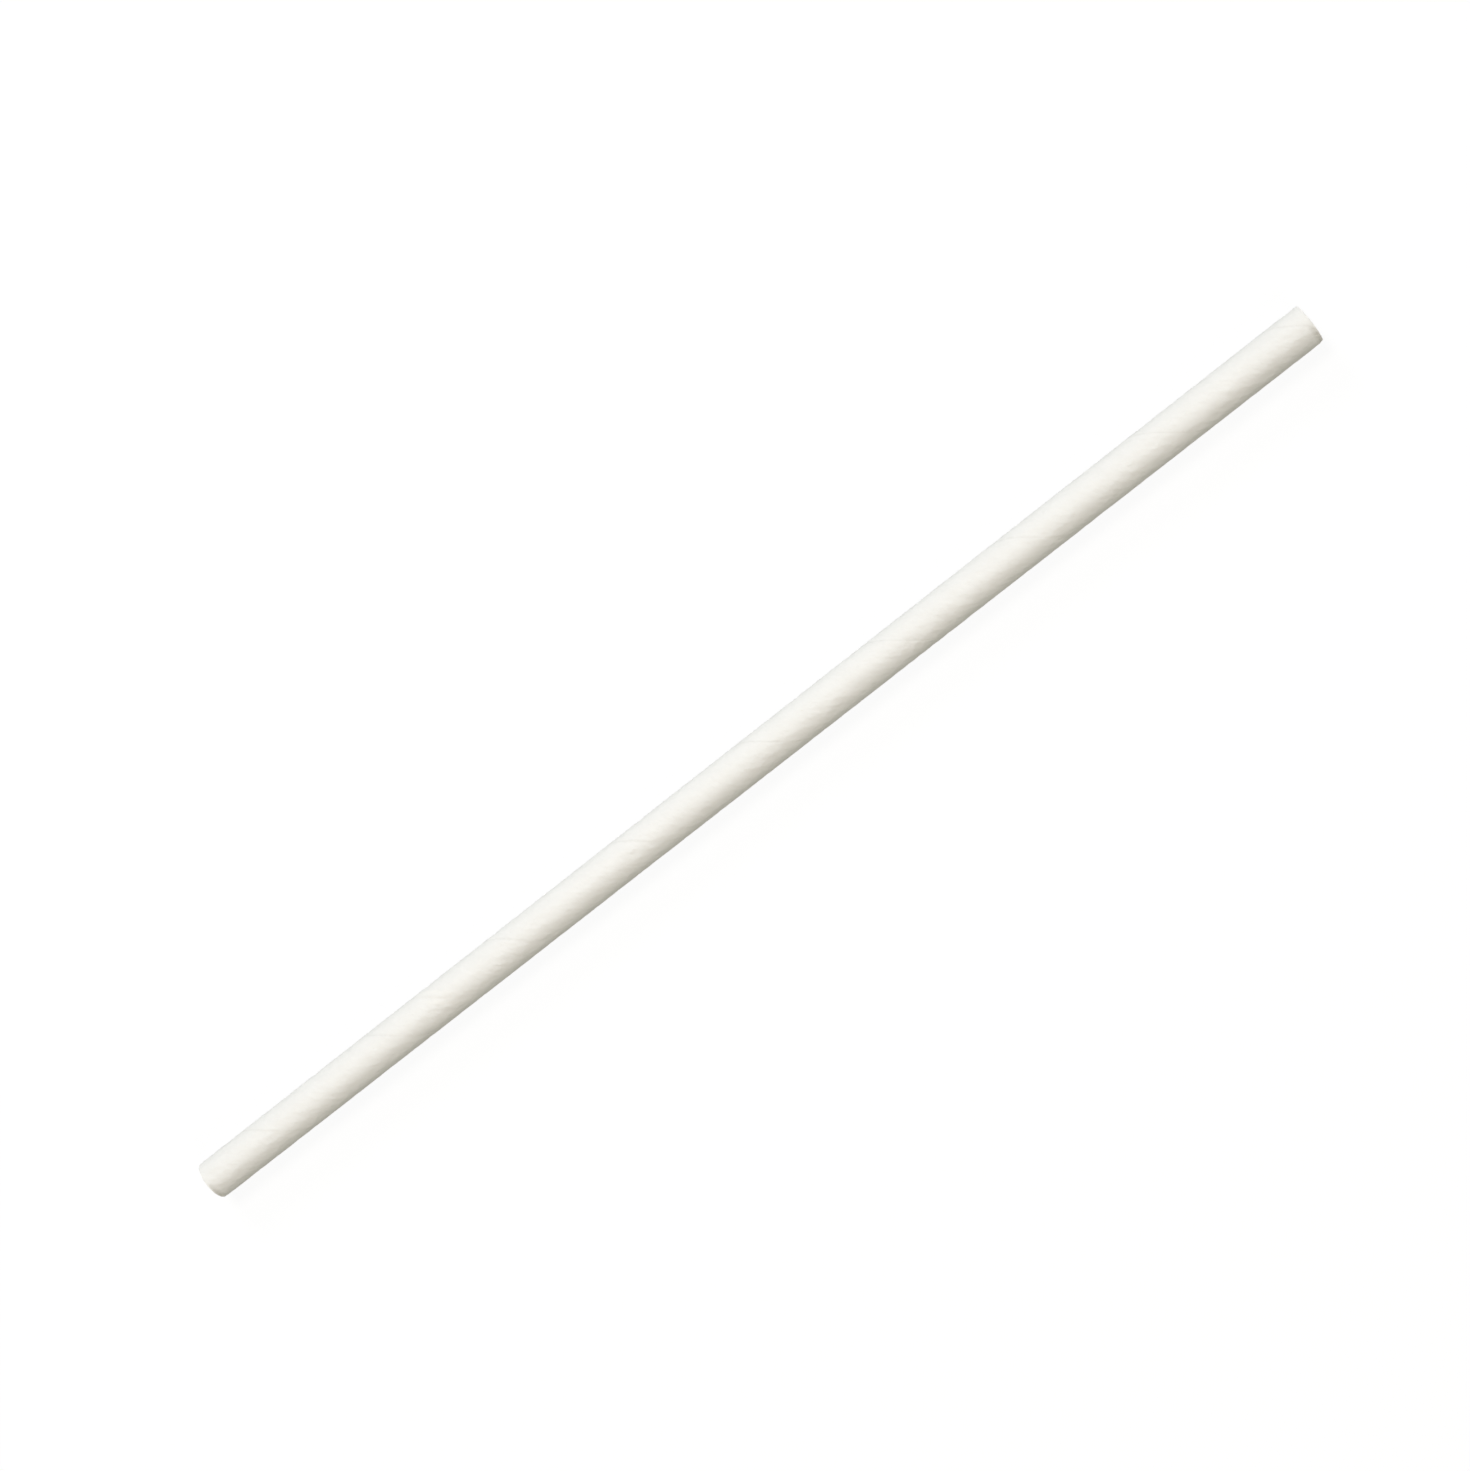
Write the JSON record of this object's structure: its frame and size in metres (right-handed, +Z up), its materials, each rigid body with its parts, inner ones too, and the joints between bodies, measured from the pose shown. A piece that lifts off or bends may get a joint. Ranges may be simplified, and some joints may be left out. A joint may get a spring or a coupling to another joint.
{
  "type": "paper drinking straw",
  "caption": "Straight spiral wound paper drinking straw, open and cut square at both ends, with fine helical seams in its outer and inner ply.",
  "frame": {"origin": "the middle of the line that the lying straw rests on, straight below the midpoint of its axis", "axes": "+X along the straw, towards the end at the upper right of the picture; +Z up, away from the surface it lies on; +Y across the straw, to the upper left of the picture"},
  "size_m": [0.197, 0.006, 0.006],
  "materials": {
    "paper": "matt, uncoated, ivory white"
  },
  "bodies": {
    "root": {"straw_tube": "paper"}
  },
  "joints": []
}
